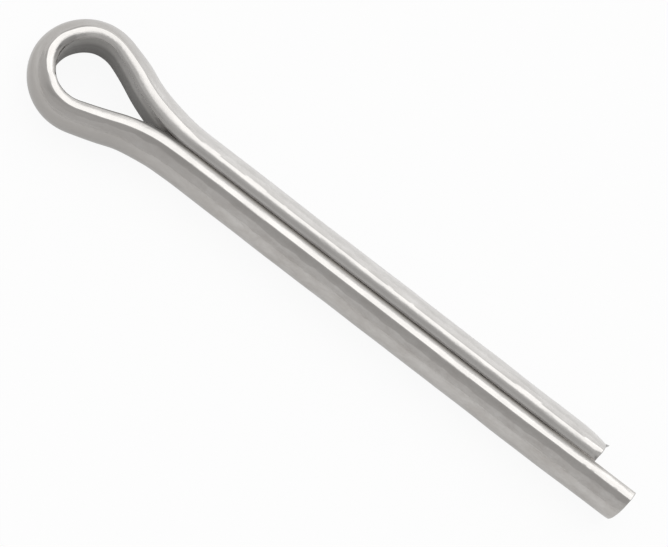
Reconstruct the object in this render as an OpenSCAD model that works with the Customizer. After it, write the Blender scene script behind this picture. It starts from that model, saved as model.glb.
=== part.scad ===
// Cotter pin, extended prong type, nominal 4 x 32: one length of half-round steel wire bent
// into a round eye, with its two legs closed flat face to flat face into a round shank.
// +X runs along the shank to the leg ends, -Y to the long leg's side and +Z up. The eye lies
// in the XY plane. The origin is on the shank's axis at the seat under the eye, where the
// spreading necks fill the hole that the pin goes through.

/* [Wire] */
// Diameter of the closed shank, twice the radius of the wire's round side
shank_d = 3.6; // [2.4:0.1:5]
// Depth rolled flat on each free edge of the wire, measured in from its round side
edge_land = 0.15; // [0.05:0.05:0.3]
// Radius that rounds the wire's flat face into each free edge
edge_r = 0.6; // [0.2:0.1:0.8]

/* [Legs] */
// Length from the seat under the eye to the end of the short leg, along its flat face
pin_length = 32; // [14:1:60]
// How far the long leg runs on past the short leg
prong_extension = 3; // [1:0.5:6]
// Gap between the flat faces of the closed legs
leg_gap = 0.06; // [0.02:0.02:0.2]
// Angle off square of the two sheared ends, which lie parallel on the straight wire
end_slant = 3; // [0:0.5:10]

/* [Eye] */
// Length from the seat to the far side of the eye
eye_length = 8.4; // [7.5:0.1:12]
// Width of the opening inside the eye
eye_opening = 3.66; // [3.6:0.02:6]
// Sideways shift of the eye's centre from the shank's axis, towards the short leg
eye_shift = 0.11; // [0:0.01:0.3]
// Slope of the wire to the shank's axis where the eye's round nose ends, on both sides
nose_angle = 19.6; // [16:0.2:20]

/* [Necks] */
// Steepest slope to the shank's axis, where the eye's side turns into the neck, long leg
long_neck_angle = 23; // [21:0.5:27]
// Steepest slope to the shank's axis, where the eye's side turns into the neck, short leg
short_neck_angle = 26.5; // [21:0.5:27]
// Bend radius of the flat face where the long leg spreads into the eye
long_neck_r = 8.85; // [6:0.05:11.5]
// Bend radius of the flat face where the short leg spreads into the eye
short_neck_r = 10.8; // [6:0.05:11.5]

/* [Hidden] */
$fn = 72;
steel = [0.72, 0.71, 0.69];
wire_r = shank_d / 2;
land_z = wire_r - edge_land;
eye_r = eye_opening / 2;
eye_x = wire_r + eye_r - eye_length;

// Moves a piece in a coarse and a fine step, so that its place keeps all its digits
module place(at) {
    near = [for (v = at) round(100 * v) / 100];
    translate(near) translate(at - near) children();
}

// Cross-section of the wire: X runs out from the flat face to the round side, Y is up
module wire_section() {
    corner_z = land_z - edge_r;
    intersection() {
        circle(wire_r);
        union() {
            translate([0, -corner_z]) square([wire_r, 2 * corner_z]);
            translate([edge_r, -land_z]) square([wire_r, 2 * land_z]);
            for (up = [-1, 1]) translate([edge_r, up * corner_z]) circle(edge_r);
        }
    }
}

// Wire bent round a centre at the origin with its flat face inside, on a radius r, from the
// slope a1 to the steeper slope a2, both on the +Y side and falling towards +X
module side_bend(r, a1, a2) {
    rotate_extrude(start = 90 - a2, angle = a2 - a1) place([r, 0]) wire_section();
}

// Wire bent the other way, with its flat face outside, from the slope a back to the X axis
module neck_bend(r, a) {
    rotate_extrude(start = 270 - a, angle = a) translate([r, 0]) mirror([1, 0]) wire_section();
}

// The half space past a leg's end: a block whose near face meets the flat face of the leg at
// end_x and leans by `slant` degrees towards +X on the round side
module past_end(end_x, slant) {
    translate([end_x, leg_gap / 2, 0]) rotate(-slant)
        translate([0, -wire_r, -shank_d]) cube(2 * shank_d);
}

// One leg on the +Y side, for an eye whose centre lies `shift` out on that side: the bowed
// side of the eye, the neck that curves back from it and the straight shank up to end_x
module leg(neck_angle, neck_r, shift, end_x, slant) {
    drop = shift + eye_r * cos(nose_angle) - leg_gap / 2 - neck_r * (1 - cos(neck_angle));
    side_r = drop / (cos(nose_angle) - cos(neck_angle));
    side_at = [eye_x, shift] + (eye_r - side_r) * [sin(nose_angle), cos(nose_angle)];
    neck_at = side_at + (side_r + neck_r) * [sin(neck_angle), cos(neck_angle)];
    place([side_at.x, side_at.y, 0]) side_bend(side_r, nose_angle, neck_angle);
    place([neck_at.x, neck_at.y, 0]) neck_bend(neck_r, neck_angle);
    difference() {
        place([neck_at.x, leg_gap / 2, 0]) rotate([90, 0, 90])
            linear_extrude(end_x + wire_r - neck_at.x) wire_section();
        past_end(end_x, slant);
    }
}

// The eye's round nose, from the long leg's side to the short leg's side
module eye() {
    place([eye_x, eye_shift, 0])
        rotate_extrude(start = 90 - nose_angle, angle = 180 + 2 * nose_angle)
            place([eye_r, 0]) wire_section();
}

module cotter_pin() {
    color(steel) union() {
        eye();
        leg(short_neck_angle, short_neck_r, eye_shift, pin_length, end_slant);
        mirror([0, 1, 0]) leg(long_neck_angle, long_neck_r, -eye_shift,
            pin_length + prong_extension, -end_slant);
    }
}

cotter_pin();
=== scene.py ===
import math
from collections import namedtuple

import bmesh
import bpy
from mathutils import Matrix, Vector, noise


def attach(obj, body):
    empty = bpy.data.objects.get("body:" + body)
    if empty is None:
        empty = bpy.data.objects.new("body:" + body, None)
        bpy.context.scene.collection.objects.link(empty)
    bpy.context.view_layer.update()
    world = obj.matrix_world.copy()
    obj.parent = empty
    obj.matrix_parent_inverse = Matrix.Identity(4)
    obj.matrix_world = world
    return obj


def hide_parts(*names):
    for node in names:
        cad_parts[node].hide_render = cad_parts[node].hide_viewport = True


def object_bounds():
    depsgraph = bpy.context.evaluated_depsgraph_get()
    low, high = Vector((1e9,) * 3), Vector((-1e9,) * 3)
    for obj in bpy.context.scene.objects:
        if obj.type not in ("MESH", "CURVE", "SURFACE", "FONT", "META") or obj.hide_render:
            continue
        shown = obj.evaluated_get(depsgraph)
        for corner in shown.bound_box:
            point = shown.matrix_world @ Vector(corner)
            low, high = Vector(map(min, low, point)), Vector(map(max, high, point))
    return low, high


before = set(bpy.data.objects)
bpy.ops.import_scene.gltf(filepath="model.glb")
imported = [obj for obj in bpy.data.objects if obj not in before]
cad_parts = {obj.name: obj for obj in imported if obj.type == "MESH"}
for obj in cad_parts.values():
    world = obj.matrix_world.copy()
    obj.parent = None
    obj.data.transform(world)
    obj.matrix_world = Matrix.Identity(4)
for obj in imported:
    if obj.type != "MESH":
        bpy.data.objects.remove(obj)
cad_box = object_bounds()

# Sizes are in millimetres, and the finished piece is scaled to metres
MM = 0.001
UP = Vector((0, 0, 1))

# The wire's section: out is measured from the flat face to the round side, which is a little
# flatter upwards than outwards. Each free edge is rolled: a flat land beside the round side,
# then a rounding that falls away to a corner with the flat face
WIRE_R = 1.8
WIRE_HIGH_R = 1.782
LAND_Z = 1.65
LAND_OUT = 0.6
EDGE_SLOPE = math.radians(50)
EDGE_R = LAND_OUT / math.sin(EDGE_SLOPE)

# The last row of the flat face lies this far short of its corner. From EDGE_FROM_Z up, the
# flat side has only that row and the rolled edge
FLAT_MARGIN = 0.04
EDGE_FROM_Z = 1.3

# The legs: where they end, the gap between their flat faces and the slant of the cuts
SHORT_END = 32.0
LONG_END = 35.0
LEG_GAP = 0.04
END_SLANT = math.radians(3)

# The eye: the radius of its opening, how far its outside reaches from the seat, and its centre,
# which is shifted towards the short leg
EYE_R = 1.83
EYE_LENGTH = 8.4
EYE_X = WIRE_R + EYE_R - EYE_LENGTH
EYE_Y = 0.11

# Slopes of the wire to the shank: where the eye's round nose ends, and at each leg's steepest,
# where the side of the eye turns into the neck. Then the bend radius of each neck's flat face
NOSE = math.radians(19.6)
LONG_NECK = math.radians(23)
SHORT_NECK = math.radians(26.5)
LONG_NECK_R = 8.85
SHORT_NECK_R = 10.8

# The rings of the sweep are no further apart than this, in length and in turn
RING_STEP = 0.14
RING_TURN = math.radians(3)

# How thick the wire is as bent, as a share of its own thickness. Each table round the eye goes
# by the length from the nose of the eye along the flat face, towards the short leg
THICKNESS = (
    (-11.0, 1.0), (-8.1, 1.045), (-5.5, 0.965), (-2.9, 0.915), (-0.4, 0.90), (1.4, 0.87),
    (2.9, 0.885), (5.5, 1.01), (8.1, 1.045), (11.0, 1.0),
)
# How far the flat face is worn back
WORN = (
    (-9.5, 0.0), (-6.5, 0.15), (-2.0, 0.15), (-0.7, 0.08), (1.2, 0.05), (2.5, 0.13),
    (6.5, 0.13), (9.5, 0.0),
)
# How far the crease at the land's outer border is dragged outwards
CREASE = (
    (-10.9, 0.02), (-9.0, 0.05), (-6.0, 0.08), (-3.6, 0.06), (-2.4, 0.03), (-1.6, -0.03),
    (-1.2, 0.01), (-0.8, 0.08), (-0.3, 0.16), (0.4, 0.14), (0.9, 0.07), (1.6, 0.10),
    (2.9, 0.08), (4.4, 0.14), (5.4, 0.19), (8.6, 0.19), (9.6, 0.14), (11.0, 0.0),
)
# How far the land's inner border is dragged outwards, besides a share of the wear
LAND_START = (
    (-10.9, 0.0), (-8.4, 0.06), (-6.0, 0.02), (-3.6, 0.0), (-2.4, -0.09), (-1.7, -0.12),
    (-1.2, 0.0), (0.9, -0.02), (1.2, -0.06), (3.0, -0.04), (4.6, -0.03), (7.0, -0.03),
    (9.5, 0.0),
)
LAND_START_PER_WEAR = 0.2
# How much deeper the upper rolled edge is at its corner with the flat face
EDGE_DROP = (
    (-1.3, 0.0), (-0.6, 0.08), (0.1, 0.16), (0.8, 0.07), (1.4, 0.02), (3.6, 0.02), (5.2, 0.06),
    (8.5, 0.05), (10.9, 0.0),
)
# Where the two borders' drags are strongest, out from the flat face, and the distance over
# which they die away
CREASE_OUT = 0.64
LAND_START_OUT = 0.35
DRAG_SPREAD = 0.20
# The drags build up over this distance from the worn face, so that nothing folds there
DRAG_EASE = 0.1
# The wear of the lower half reaches this far out, and the rows that are worn back on the upper
# half slope by this much, so that no two of them coincide
LOWER_WEAR_OUT = 1.0
WORN_SLOPE = 0.02
# Heights that differ by less than this count as the same
SAME = 0.001

# The waves that the rolls leave: length along the wire, width across it, and height. They
# start this far out from the flat face, and have their full height from the next
LONG_WAVE = (2.6, 1.1, 0.028)
SHORT_WAVE = (0.8, 0.5, 0.003)
WAVES_FROM_OUT = 0.02
WAVES_FULL_OUT = 0.8
# The nicks lie along the crease, down to this far below the land and from this far outside it
NICK_LENGTH = 0.22
NICK_HEIGHT = 0.010
NICK_BELOW = 0.02
NICK_OUTSIDE = 0.05

# The short end's round side is dragged in: over what length, how far, and from where outwards
SHORT_TIP_DRAG_LENGTH = 1.6
SHORT_TIP_DRAG = 0.20
TIP_DRAG_FROM_OUT = 0.9
# The dent in its rolled edge: length, depth, where it is deepest, out from the flat face, and
# the distance over which it dies away
DENT_LENGTH = 0.5
DENT = 0.13
DENT_OUT = 0.26
DENT_SPREAD = 0.20

# By distance from the long leg's end: how far the crease is drawn towards the flat face, which
# narrows the land, and how much of the rolled edge is flattened
LONG_TIP_DRAG = ((0.0, 0.09), (2.4, 0.085), (5.0, 0.045), (8.0, 0.0))
LONG_TIP_FLAT = ((0.0, 0.52), (2.4, 0.48), (4.5, 0.25), (6.5, 0.0))
# That drag is strongest here, out from the flat face, and dies away over the spread. Only the
# upper side has it
LONG_TIP_DRAG_OUT = 0.72
LONG_TIP_DRAG_SPREAD = 0.30
LONG_TIP_DRAG_FROM_Z = 0.6
# The long end's round side is dragged in too, steeply over a short length and evenly over a
# long one: the length, how far, from where outwards, and the power by which it dies away
LONG_TIP_ROUND_DRAGS = ((0.45, 0.06, 1.2, 2), (7.0, 0.08, TIP_DRAG_FROM_OUT, 1))

# The rims of the cut faces: how wide they are, and how far they fall away
RIM_WIDTH = 0.03
RIM_DEPTH = 0.04
# The burr on the short end: how far it is drawn out, the height of its middle, half its width,
# and from where outwards
BURR = Vector((0.24, 0.08, 0.04))
BURR_Z = 0.55
BURR_HALF = 0.32
BURR_FROM_Y = 1.0

# Neighbouring faces at a larger angle than this meet in a sharp edge
SHARP = math.radians(18)

# The wire's length along its flat face, and how far past its ends the cut faces count as lying
WIRE_LENGTH = 82.9
CUT = 4.0

# The height of the steel's fine relief
RELIEF = 0.015

# The camera's sensor in millimetres, and the width of its picture in pixels
SENSOR = 36
PICTURE_WIDTH = 668

# Half the floor's width in metres, and how far it is lifted towards white, as seen in the metal
# and by the camera. Then how bright the room is, where 1 is white
FLOOR_HALF = 3.0
FLOOR_LIFT_IN_METAL = 0.38
FLOOR_LIFT_TO_CAMERA = 0.92
ROOM_LEVEL = 0.90

Ring = namedtuple("Ring", "verts at out along")


def smooth_between(table, x):
    """The value at x of a table of (place, value) rows, eased between its rows."""
    if x <= table[0][0]:
        return table[0][1]
    for (x0, y0), (x1, y1) in zip(table, table[1:]):
        if x <= x1:
            t = (x - x0) / (x1 - x0)
            t = t * t * (3 - 2 * t)
            return y0 + (y1 - y0) * t
    return table[-1][1]


def lump(x, middle, spread):
    """1 at the middle, dying away over the spread on both sides."""
    return math.exp(-((x - middle) / spread) ** 2)


# ---------------------------------------------------------------- the bent wire


def leg_bends(neck_angle, neck_r, shift):
    """The centres of a leg's side bend and neck bend, for a leg on the +Y side, and the side
    bend's radius between them."""
    drop = shift + EYE_R * math.cos(NOSE) - LEG_GAP / 2 - neck_r * (1 - math.cos(neck_angle))
    side_r = drop / (math.cos(NOSE) - math.cos(neck_angle))
    side = Vector((EYE_X, shift)) + (EYE_R - side_r) * Vector((math.sin(NOSE), math.cos(NOSE)))
    lean = Vector((math.sin(neck_angle), math.cos(neck_angle)))
    return side, side_r, side + (side_r + neck_r) * lean


def wire_route():
    """The stretches of the wire from the short leg's end to the long leg's end.

    A straight run is ("run", end_x); a bend is ("bend", centre, radius, turn), where the turn
    is counted anticlockwise from above.
    """
    s_side, s_r, s_neck = leg_bends(SHORT_NECK, SHORT_NECK_R, EYE_Y)
    l_side, l_r, l_neck = leg_bends(LONG_NECK, LONG_NECK_R, -EYE_Y)
    flip = Vector((1, -1))
    return [
        ("run", s_neck.x),
        ("bend", s_neck, SHORT_NECK_R, -SHORT_NECK),
        ("bend", s_side, s_r, SHORT_NECK - NOSE),
        ("bend", Vector((EYE_X, EYE_Y)), EYE_R, math.pi + 2 * NOSE),
        ("bend", l_side * flip, l_r, LONG_NECK - NOSE),
        ("bend", l_neck * flip, LONG_NECK_R, -LONG_NECK),
        ("run", LONG_END),
    ]


def edge_height(out):
    """How high the rolled edge lies, at a distance out from the flat face."""
    slope = math.asin((LAND_OUT - out) / EDGE_R)
    return LAND_Z - EDGE_R * (1 - math.cos(slope))


def section_ring(bm, flat, edge, arc):
    """The wire's half-round section as a closed loop of edges, at the short leg's end. The
    flat face, each rolled edge and the round side are cut into the numbers given."""
    crest = math.asin(LAND_Z / WIRE_HIGH_R)
    slopes = [EDGE_SLOPE * (1 - i / edge) for i in range(edge + 1)]
    rolled = [(LAND_OUT - EDGE_R * math.sin(a), LAND_Z - EDGE_R * (1 - math.cos(a)))
              for a in slopes]
    inner = rolled[0][1] - FLAT_MARGIN
    points = [(0, -inner + 2 * inner * i / flat) for i in range(flat + 1)]
    points += rolled
    for i in range(arc + 1):
        a = crest - 2 * crest * i / arc
        points.append((WIRE_R * math.cos(a), WIRE_HIGH_R * math.sin(a)))
    points += [(out, -z) for out, z in reversed(rolled)]
    verts = [bm.verts.new((SHORT_END, LEG_GAP / 2 + out, z)) for out, z in points]
    edges = [bm.edges.new((a, b)) for a, b in zip(verts, verts[1:] + verts[:1])]
    return verts, edges


def ring_made(made):
    """The vertices and edges of the ring that an extrusion or a spin has just made."""
    verts = [g for g in made if isinstance(g, bmesh.types.BMVert)]
    ends = set(verts)
    edges = [g for g in made if isinstance(g, bmesh.types.BMEdge)
             and g.verts[0] in ends and g.verts[1] in ends]
    return verts, edges


def bent_wire():
    """The whole wire: its section is swept along the route one ring at a time.

    Each vertex keeps where it was on the straight drawn wire, in millimetres: along the wire,
    out from the flat face, and up. Returns the mesh, that layer and the rings, each with its
    place, the direction its round side faces and how far along the wire it lies.
    """
    bm = bmesh.new()
    drawn = bm.verts.layers.float_vector.new("drawn")
    verts, edges = section_ring(bm, flat=8, edge=8, arc=44)
    for v in verts:
        v[drawn] = (0, v.co.y - LEG_GAP / 2, v.co.z)
    at = Vector((SHORT_END, LEG_GAP / 2, 0))
    out = Vector((0, 1, 0))
    along = 0.0
    rings = [Ring(verts, at.copy(), out.copy(), along)]
    for kind, *stretch in wire_route():
        if kind == "run":
            length = stretch[0] - at.x
            steps = math.ceil(abs(length) / RING_STEP)
            step = Vector((length / steps, 0, 0))
        else:
            centre, radius, turn = stretch
            centre = centre.to_3d()
            length = radius * abs(turn)
            steps = math.ceil(max(length / RING_STEP, abs(turn) / RING_TURN))
            swing = Matrix.Rotation(turn / steps, 3, UP)
        for _ in range(steps):
            if kind == "run":
                made = bmesh.ops.extrude_edge_only(bm, edges=edges)["geom"]
                verts, edges = ring_made(made)
                bmesh.ops.translate(bm, verts=verts, vec=step)
                at += step
            else:
                made = bmesh.ops.spin(
                    bm, geom=verts + edges, cent=centre, axis=UP, dvec=(0, 0, 0),
                    angle=turn / steps, steps=1, use_merge=False, use_normal_flip=False,
                    use_duplicate=False)["geom_last"]
                verts, edges = ring_made(made)
                at = centre + swing @ (at - centre)
                out = swing @ out
            along += abs(length) / steps
            for v in verts:
                v[drawn] = (along, v[drawn].y, v[drawn].z)
            rings.append(Ring(verts, at.copy(), out.copy(), along))
    return bm, drawn, rings


def thin_or_swell(bm, ring, share):
    """Scales a ring's thickness, out from the flat face."""
    across = UP.cross(ring.out)
    place = Matrix((ring.out, across, UP)).transposed().to_4x4()
    place.translation = ring.at
    bmesh.ops.scale(bm, verts=ring.verts, vec=(share, 1, 1), space=place.inverted())


def shape_round_the_eye(bm, drawn, rings):
    """The round side draws in where the wire is stretched over the eye, and swells a little
    at the necks, where it is squeezed. The flat face is worn back, which leaves the rolled
    edges shallower, and the land is dragged sideways."""
    corner_z = edge_height(0)
    nose = min(rings, key=lambda ring: ring.at.x).along
    for ring in rings:
        to_short = nose - ring.along
        share = smooth_between(THICKNESS, to_short)
        if share == 1.0:
            continue
        thin_or_swell(bm, ring, share)
        worn = smooth_between(WORN, to_short)
        drop = smooth_between(EDGE_DROP, to_short)
        crease = smooth_between(CREASE, to_short)
        start = smooth_between(LAND_START, to_short) + LAND_START_PER_WEAR * worn
        worn_corner_z = edge_height(worn / share)
        for v in ring.verts:
            depth = (v.co - ring.at).dot(ring.out)
            drawn_z = v[drawn].z
            if v.co.z > EDGE_FROM_Z and depth < LAND_OUT:
                v.co.z -= drop * (1 - max(depth, worn) / LAND_OUT) ** 2
            if depth < worn and drawn_z >= 0:
                if drawn_z > corner_z - SAME:
                    v.co.z += worn_corner_z - WORN_SLOPE * (worn - depth) - drawn_z
                v.co += ring.out * (worn - depth)
                v[drawn] = (ring.along, 0, drawn_z)
            elif depth < LOWER_WEAR_OUT and drawn_z < 0:
                v.co += ring.out * (math.hypot(depth, worn) - depth)
            if abs(drawn_z) > corner_z and depth > worn:
                eased = min(1.0, (depth - worn) / DRAG_EASE)
                v.co += ring.out * eased * (crease * lump(depth, CREASE_OUT, DRAG_SPREAD)
                                            + start * lump(depth, LAND_START_OUT, DRAG_SPREAD))


def wave(kind, along, out, up, seed=0):
    """One kind of wave on the round side, as a push along its normal."""
    length, width, height = kind
    return height * noise.noise((along / length + seed, out / width, up / width))


def roll_marks(bm, drawn):
    """The long shallow waves that the rolls leave on the round side, and the small nicks along
    the crease where the round side meets the rolled edges."""
    bm.normal_update()
    for v in bm.verts:
        along, out, up = v[drawn]
        if out < WAVES_FROM_OUT:
            continue
        push = wave(LONG_WAVE, along, out, up) + wave(SHORT_WAVE, along, out, up, seed=40)
        push *= min(1.0, out / WAVES_FULL_OUT)
        if abs(up) > LAND_Z - NICK_BELOW and out > LAND_OUT + NICK_OUTSIDE:
            push += NICK_HEIGHT * noise.noise((along / NICK_LENGTH, 7, up))
        v.co += v.normal * push
        v.co.z = max(-LAND_Z, min(LAND_Z, v.co.z))


def towards_round(out, from_out):
    """0 up to a distance out from the flat face, and rising from there to 1 at the round
    side."""
    return max(0.0, out - from_out) / (WIRE_R - from_out)


def shear_short_end(bm, drawn):
    """The blade drags the round side in and dents the land."""
    for v in bm.verts:
        from_end, out, up = v[drawn]
        if from_end < SHORT_TIP_DRAG_LENGTH:
            near = 1 - from_end / SHORT_TIP_DRAG_LENGTH
            v.co.y -= SHORT_TIP_DRAG * near ** 2 * towards_round(out, TIP_DRAG_FROM_OUT)
        if from_end < DENT_LENGTH and abs(up) > EDGE_FROM_Z:
            near = 1 - from_end / DENT_LENGTH
            v.co.z -= math.copysign(DENT, up) * near ** 2 * lump(out, DENT_OUT, DENT_SPREAD)


def shear_long_end(bm, drawn, whole):
    """The blade draws the land narrower on the upper side, drags the round side in and
    flattens the rolled edges."""
    for v in bm.verts:
        along, out, up = v[drawn]
        from_end = whole - along
        if from_end < LONG_TIP_DRAG[-1][0] and up > LONG_TIP_DRAG_FROM_Z:
            drag = smooth_between(LONG_TIP_DRAG, from_end)
            v.co.y += drag * lump(out, LONG_TIP_DRAG_OUT, LONG_TIP_DRAG_SPREAD)
        for length, drag, from_out, power in LONG_TIP_ROUND_DRAGS:
            if from_end < length:
                near = 1 - from_end / length
                v.co.y += drag * near ** power * towards_round(out, from_out)
        if from_end < LONG_TIP_FLAT[-1][0] and out < LAND_OUT and abs(up) > EDGE_FROM_Z:
            flattened = smooth_between(LONG_TIP_FLAT, from_end)
            v.co.z += (math.copysign(LAND_Z, up) - v.co.z) * flattened


def slant_ends(rings):
    """Both ends are sheared at the same slant on the straight wire."""
    for ring in (rings[0], rings[-1]):
        for v in ring.verts:
            v.co.x += math.tan(END_SLANT) * v.co.y


def close_ends(bm, drawn, rings):
    """Fills the two cut faces, each inside a narrow rim that falls away to the wire's side.
    The cut faces count as lying past the wire's ends, which is how the steel knows them."""
    for ring, past in ((rings[0], -CUT), (rings[-1], CUT)):
        cut = bmesh.ops.contextual_create(bm, geom=ring.verts)["faces"]
        rim = bmesh.ops.inset_region(
            bm, faces=cut, thickness=RIM_WIDTH, use_even_offset=True)["faces"]
        outer = {v for f in rim for v in f.verts} - set(cut[0].verts)
        bmesh.ops.translate(bm, verts=list(outer), vec=(-RIM_DEPTH, 0, 0))
        for v in cut[0].verts:
            v[drawn] = (ring.along + past, v[drawn].y, v[drawn].z)


def draw_out_burr(ring):
    """The blade leaves a burr on the round side of the short end's cut face."""
    for v in ring.verts:
        if v.co.y > BURR_FROM_Y:
            v.co += BURR * math.exp(-((v.co.z - BURR_Z) / BURR_HALF) ** 4)


def sharpen_creases(bm):
    """Marks the creases along the wire and the rims of the cut ends as sharp."""
    bmesh.ops.recalc_face_normals(bm, faces=bm.faces)
    for e in bm.edges:
        e.smooth = e.calc_face_angle(0) < SHARP


def finished_object(bm, name, material):
    """A mesh object in metres from a bmesh in millimetres, with smooth faces."""
    bmesh.ops.scale(bm, verts=bm.verts, vec=(MM, MM, MM))
    for f in bm.faces:
        f.smooth = True
    mesh = bpy.data.meshes.new(name)
    bm.to_mesh(mesh)
    bm.free()
    mesh.materials.append(material)
    piece = bpy.data.objects.new(name, mesh)
    bpy.context.collection.objects.link(piece)
    return piece


# ---------------------------------------------------------------- materials


class Nodes:
    """Short hand for building the nodes of a material or of the world."""

    def __init__(self, owner):
        owner.use_nodes = True
        self.tree = owner.node_tree
        self.tree.nodes.clear()

    def add(self, kind, inputs=None, **settings):
        """A node. Each input is given a value, or another node's output to be linked to."""
        node = self.tree.nodes.new(kind)
        for key, value in settings.items():
            setattr(node, key, value)
        for key, value in (inputs or {}).items():
            if isinstance(value, bpy.types.NodeSocket):
                self.tree.links.new(value, node.inputs[key])
            else:
                node.inputs[key].default_value = value
        return node

    def maths(self, operation, *values):
        node = self.add("ShaderNodeMath", dict(enumerate(values)), operation=operation)
        return node.outputs[0]

    def to_range(self, value, low, high, out_low, out_high, **settings):
        """A value that goes from out_low to out_high as another goes from low to high."""
        return self.add("ShaderNodeMapRange", {
            "Value": value, "From Min": low, "From Max": high,
            "To Min": out_low, "To Max": out_high}, **settings).outputs["Result"]

    def nearness(self, value, middle, near, far, most=1):
        """The most while a value is within near of the middle, and 0 from far on."""
        off = self.maths("ABSOLUTE", self.maths("SUBTRACT", value, middle))
        return self.to_range(off, near, far, most, 0)

    def stretched_noise(self, source, scale, detail, roughness):
        """Noise on a vector that is first scaled by different amounts along its axes."""
        mapped = self.add("ShaderNodeMapping", {"Vector": source, "Scale": scale})
        return self.add("ShaderNodeTexNoise", {
            "Vector": mapped.outputs["Vector"], "Scale": 1.0, "Detail": detail,
            "Roughness": roughness}).outputs["Fac"]

    def mix_colour(self, share, first, second):
        """A colour between two others, each an output or three numbers."""
        first, second = (
            colour if isinstance(colour, bpy.types.NodeSocket) else (*colour, 1)
            for colour in (first, second))
        return self.add("ShaderNodeMix", {0: share, 6: first, 7: second},
                        data_type="RGBA").outputs[2]


def round_side_colour(n, wire, along, out, shade):
    """The round side: painted lighter on the short leg, for the brighter reflection it shows,
    with a painted highlight on its outside, and duller on the long leg, which has a painted dark
    band with a wavy border beside its rolled edge."""
    dull = n.mix_colour(shade, (0.470, 0.447, 0.425), (0.575, 0.558, 0.538))
    painted_light_short_leg = n.mix_colour(shade, (0.605, 0.588, 0.570), (0.705, 0.690, 0.673))
    bright = n.mix_colour(shade, (0.705, 0.687, 0.668), (0.815, 0.798, 0.780))

    # Painted light: lighter from the short leg's end to the nose, and a painted highlight,
    # brightest on the outside
    colour = n.mix_colour(n.to_range(along, 34, 39.5, 1, 0), dull, painted_light_short_leg)
    painted_highlight_outside = n.maths("MULTIPLY", n.to_range(along, 31, 38.5, 1, 0),
                            n.to_range(out, 0.85, 1.35, 0, 1))
    colour = n.mix_colour(painted_highlight_outside, colour, bright)

    # Painted shade: two darker places just past the nose, one on the outside and one all over,
    # for the shadowed floor they reflect
    painted_shade_outside = n.maths("MULTIPLY", n.nearness(along, 44, 2.5, 4.5),
                           n.to_range(out, 1.4, 1.6, 0, 0.55))
    colour = n.mix_colour(painted_shade_outside, colour, (0.37, 0.354, 0.338))
    painted_shade_past_nose = n.nearness(along, 46.5, 3.5, 8, most=0.5)
    colour = n.mix_colour(painted_shade_past_nose, colour, (0.42, 0.402, 0.385))

    # The painted dark band of the long leg, a shaded reflection beside its rolled edge, which
    # narrows at the neck and towards the leg's end
    wavy = n.to_range(n.stretched_noise(wire, (0.6, 0, 0), detail=3, roughness=0.6),
                      0.25, 0.75, -0.10, 0.10)
    band_end = n.maths("ADD", wavy, n.to_range(along, 74, 82, 1.13, 1.00))
    band_end = n.maths("SUBTRACT", band_end, n.nearness(along, 49, 4, 8, most=0.09))
    past_band = n.maths("SUBTRACT", out, band_end)
    band = n.maths("MULTIPLY", n.to_range(past_band, -0.025, 0.025, 0.5, 0),
                   n.to_range(along, 41, 45, 0, 1))
    return n.mix_colour(band, colour, (0.345, 0.330, 0.315))


def flat_face_painted_light_and_shade(n, along, up, in_eye):
    """Painted shade: inside the eye the flat face gets darker towards its lower edge, for the
    dark reflections there, and is lightest high up on the short leg's side. Along the legs it is
    painted lighter still, against the shade in the cleft between them."""
    high, middle, low = (0.350, 0.339, 0.324), (0.225, 0.217, 0.207), (0.160, 0.154, 0.147)
    colour = n.mix_colour(n.to_range(up, 1.35, 0.3, 0, 1), high, middle)
    colour = n.mix_colour(n.to_range(up, 0.3, -1.3, 0, 1), colour, low)
    upper = n.maths("MULTIPLY", n.to_range(up, 0.15, 0.65, 0, 1),
                    n.to_range(along, 35.5, 38.5, 1, 0.3))
    colour = n.mix_colour(upper, colour, (0.440, 0.427, 0.411))
    return n.mix_colour(in_eye, (0.750, 0.729, 0.706), colour)


def rolled_edge_colour(n, along, out, height, shade, in_eye):
    """The rolled edges are burnished. Below the land they have painted shade, darker on the
    legs, where they face each other across the cleft, and in the eye, and darkest of all, a
    painted shade line, where the eye's near side meets the flat face."""
    burnished = n.mix_colour(shade, (0.530, 0.516, 0.500), (0.590, 0.574, 0.556))
    # Painted shade below the land, in the cleft between the legs and in the eye
    painted_shade_below_land = n.maths("MAXIMUM", n.nearness(along, 64.5, 15.2, 16.5, most=0.78),
                         n.maths("MULTIPLY", in_eye, 0.45))
    painted_shade_below_land = n.maths("MULTIPLY", painted_shade_below_land, n.to_range(height, 1.60, 1.50, 0, 1))
    short_leg = n.maths("MULTIPLY", n.to_range(along, 29, 32, 0.25, 0),
                        n.to_range(height, 1.63, 1.58, 0, 1))
    painted_shade_below_land = n.maths("MAXIMUM", painted_shade_below_land, short_leg)
    colour = n.mix_colour(painted_shade_below_land, burnished, (0.25, 0.236, 0.222))
    # Painted shade line where the eye's near side meets the flat face
    painted_shade_near_rim = n.maths("MULTIPLY", n.nearness(along, 46.3, 3.0, 5.0),
                       n.to_range(out, 0.17, 0.24, 1, 0))
    return n.mix_colour(painted_shade_near_rim, colour, (0.15, 0.145, 0.14))


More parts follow.
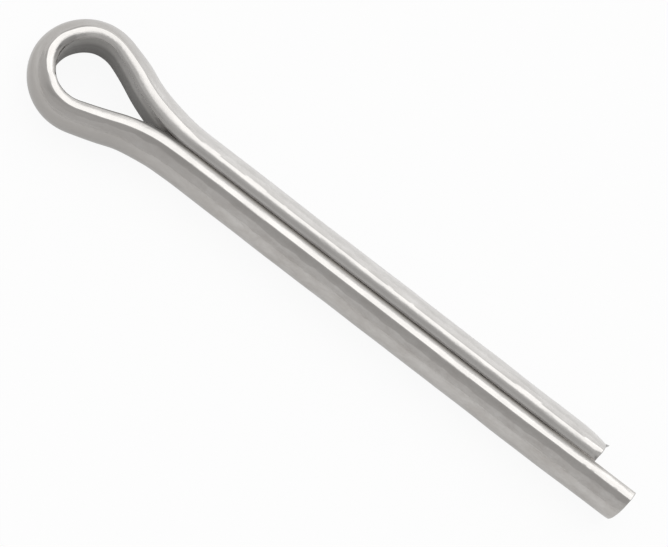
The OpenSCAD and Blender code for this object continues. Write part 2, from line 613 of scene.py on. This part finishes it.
def drawn_steel():
    """Bright drawn wire: satin, with soft mottling, a fine grain and faint streaks along the
    wire. It goes by the place that each point had on the straight wire: along runs from the
    short end, out from the flat face and up from the middle, in millimetres."""
    material = bpy.data.materials.new("drawn_steel")
    n = Nodes(material)
    wire = n.add("ShaderNodeAttribute", attribute_name="drawn",
                 attribute_type="GEOMETRY").outputs["Vector"]
    along, out, up = n.add("ShaderNodeSeparateXYZ", {"Vector": wire}).outputs
    height = n.maths("ABSOLUTE", up)

    mottle = n.stretched_noise(wire, (0.75, 1.5, 1.5), detail=4, roughness=0.6)
    streaks = n.stretched_noise(wire, (0.30, 6, 6), detail=3, roughness=0.6)
    grain = n.stretched_noise(wire, (5.5, 5, 5), detail=3, roughness=0.65)
    ripple = n.stretched_noise(wire, (0.55, 1.6, 1.6), detail=2, roughness=0.5)
    shade = n.maths("ADD", mottle, n.to_range(grain, 0, 1, -0.15, 0.15))
    shade = n.to_range(shade, 0.30, 0.70, 0, 1)

    in_eye = n.nearness(along, 36.0, 5, 6.2)
    side = round_side_colour(n, wire, along, out, shade)
    flat = flat_face_painted_light_and_shade(n, along, up, in_eye)
    edge = rolled_edge_colour(n, along, out, height, shade, in_eye)
    flat_and_edge = n.to_range(out, 0.70, 0.76, 1, 0)
    colour = n.mix_colour(n.to_range(out, 0.003, 0.012, 0, 1), flat, edge)
    colour = n.mix_colour(flat_and_edge, side, colour)
    half = WIRE_LENGTH / 2
    uncut = n.nearness(along, half, half + 0.5, half + CUT - 0.5)
    colour = n.mix_colour(uncut, (0.40, 0.385, 0.37), colour)

    rougher = n.maths("MULTIPLY", flat_and_edge, n.to_range(height, 1.50, 1.40, 0, 0.25))
    rougher = n.maths("MULTIPLY", rougher, uncut)
    roughness = n.maths("ADD", n.to_range(streaks, 0.3, 0.7, 0.14, 0.22), rougher)

    relief = n.maths("ADD", n.to_range(streaks, 0, 1, 0, 0.30), n.to_range(grain, 0, 1, 0, 0.55))
    relief = n.maths("ADD", relief, n.to_range(ripple, 0, 1, 0, 1.5))
    bump = n.add("ShaderNodeBump", {"Height": relief, "Strength": 1.0, "Distance": RELIEF * MM})
    steel = n.add("ShaderNodeBsdfPrincipled", {
        "Base Color": colour, "Roughness": roughness, "Normal": bump.outputs["Normal"],
        "Metallic": 1.0})
    n.add("ShaderNodeOutputMaterial", {"Surface": steel.outputs["BSDF"]})
    return material


def white_floor():
    """A matt white floor that takes the object's shadow. To the camera, and less so in the
    metal, it is lifted towards white."""
    material = bpy.data.materials.new("white_floor")
    n = Nodes(material)
    matt = n.add("ShaderNodeBsdfPrincipled", {
        "Base Color": (0.87, 0.87, 0.87, 1), "Roughness": 1.0, "Specular IOR Level": 0.0})
    white = n.add("ShaderNodeEmission", {"Color": (1, 1, 1, 1), "Strength": 1.0})
    ray = n.add("ShaderNodeLightPath").outputs
    in_metal = n.maths("MAXIMUM", ray["Is Glossy Ray"], ray["Is Transmission Ray"])
    lift = n.maths("MAXIMUM", n.maths("MULTIPLY", in_metal, FLOOR_LIFT_IN_METAL),
                   n.maths("MULTIPLY", ray["Is Camera Ray"], FLOOR_LIFT_TO_CAMERA))
    mix = n.add("ShaderNodeMixShader", {0: lift, 1: matt.outputs["BSDF"],
                                        2: white.outputs["Emission"]})
    n.add("ShaderNodeOutputMaterial", {"Surface": mix.outputs[0]})
    return material


# ---------------------------------------------------------------- studio


def camera_looking(at, distance, lean, skew, roll, focal_px):
    """The camera, leaning by `lean` from overhead towards the long leg's side, skewed by
    `skew` towards the eye, and rolled. Its focal length is counted in the picture's pixels."""
    back = Vector((-math.sin(skew), -math.cos(skew) * math.sin(lean),
                   math.cos(skew) * math.cos(lean)))
    along = Vector((math.cos(skew), -math.sin(skew) * math.sin(lean),
                    math.sin(skew) * math.cos(lean)))
    down = Vector((0, -math.cos(lean), -math.sin(lean)))
    right = math.cos(roll) * along - math.sin(roll) * down
    up = -(math.sin(roll) * along + math.cos(roll) * down)
    data = bpy.data.cameras.new("camera")
    data.sensor_width = SENSOR
    data.lens = SENSOR * focal_px / PICTURE_WIDTH
    data.clip_start, data.clip_end = 0.001, 10
    camera = bpy.data.objects.new("camera", data)
    turn = Matrix((right, up, back)).transposed().to_4x4()
    turn.translation = at + back * distance
    camera.matrix_world = turn
    bpy.context.collection.objects.link(camera)
    bpy.context.scene.camera = camera


def floor():
    """A wide plain floor that touches the underside of the pin."""
    bm = bmesh.new()
    bmesh.ops.create_grid(bm, x_segments=1, y_segments=1, size=FLOOR_HALF)
    bmesh.ops.translate(bm, verts=bm.verts, vec=(0, 0, cad_box[0].z))
    mesh = bpy.data.meshes.new("floor")
    bm.to_mesh(mesh)
    bm.free()
    mesh.materials.append(white_floor())
    piece = bpy.data.objects.new("floor", mesh)
    bpy.context.collection.objects.link(piece)


def room_light():
    """A pale room with one soft lamp, high up and behind the short leg, three weaker bright
    patches, and four darker ones on the long leg's side and past the legs' ends.

    Each row is a patch of the room: where it is seen from the object, the angles at which it
    starts to fade and has faded, and how much it adds to the room's own brightness.
    """
    patches = (
        ((0.03, 0.47, 0.88), 18, 38, 1.30),
        ((-0.09, 0.99, 0.10), 14, 34, 0.40),
        ((-0.67, 0.45, 0.59), 8, 24, 0.45),
        ((0.39, 0.69, 0.60), 8, 20, 0.60),
        ((0.83, 0.00, 0.56), 20, 38, -0.36),
        ((0.76, 0.48, 0.44), 10, 20, -0.22),
        ((0.00, -0.54, 0.84), 16, 22, -0.10),
        ((-0.45, -0.62, 0.64), 9, 17, -0.20),
    )
    world = bpy.data.worlds.new("room")
    bpy.context.scene.world = world
    n = Nodes(world)
    seen = n.add("ShaderNodeTexCoord").outputs["Generated"]
    level = ROOM_LEVEL
    for toward, near, far, extra in patches:
        cosine = n.add("ShaderNodeVectorMath", {0: seen, 1: Vector(toward).normalized()},
                       operation="DOT_PRODUCT").outputs["Value"]
        patch = n.to_range(n.maths("ARCCOSINE", cosine), math.radians(near), math.radians(far),
                           extra, 0, interpolation_type="SMOOTHSTEP")
        level = n.maths("ADD", patch, level)
    sky = n.add("ShaderNodeBackground", {"Strength": level})
    n.add("ShaderNodeOutputWorld", {"Surface": sky.outputs[0]})


# ---------------------------------------------------------------- putting it together

bm, drawn, rings = bent_wire()
shape_round_the_eye(bm, drawn, rings)
roll_marks(bm, drawn)
shear_short_end(bm, drawn)
shear_long_end(bm, drawn, rings[-1].along)
slant_ends(rings)
close_ends(bm, drawn, rings)
draw_out_burr(rings[0])
sharpen_creases(bm)
wire = finished_object(bm, "bent_wire", drawn_steel())
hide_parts("cotter_pin")
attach(wire, "root")

floor()
room_light()
camera_looking(
    at=Vector((13.49, -0.167, 0)) * MM, distance=153.95 * MM, lean=math.radians(18.03),
    skew=math.radians(1.976), roll=math.radians(37.631), focal_px=2656.7)

scene = bpy.context.scene
scene.view_settings.view_transform = "Standard"
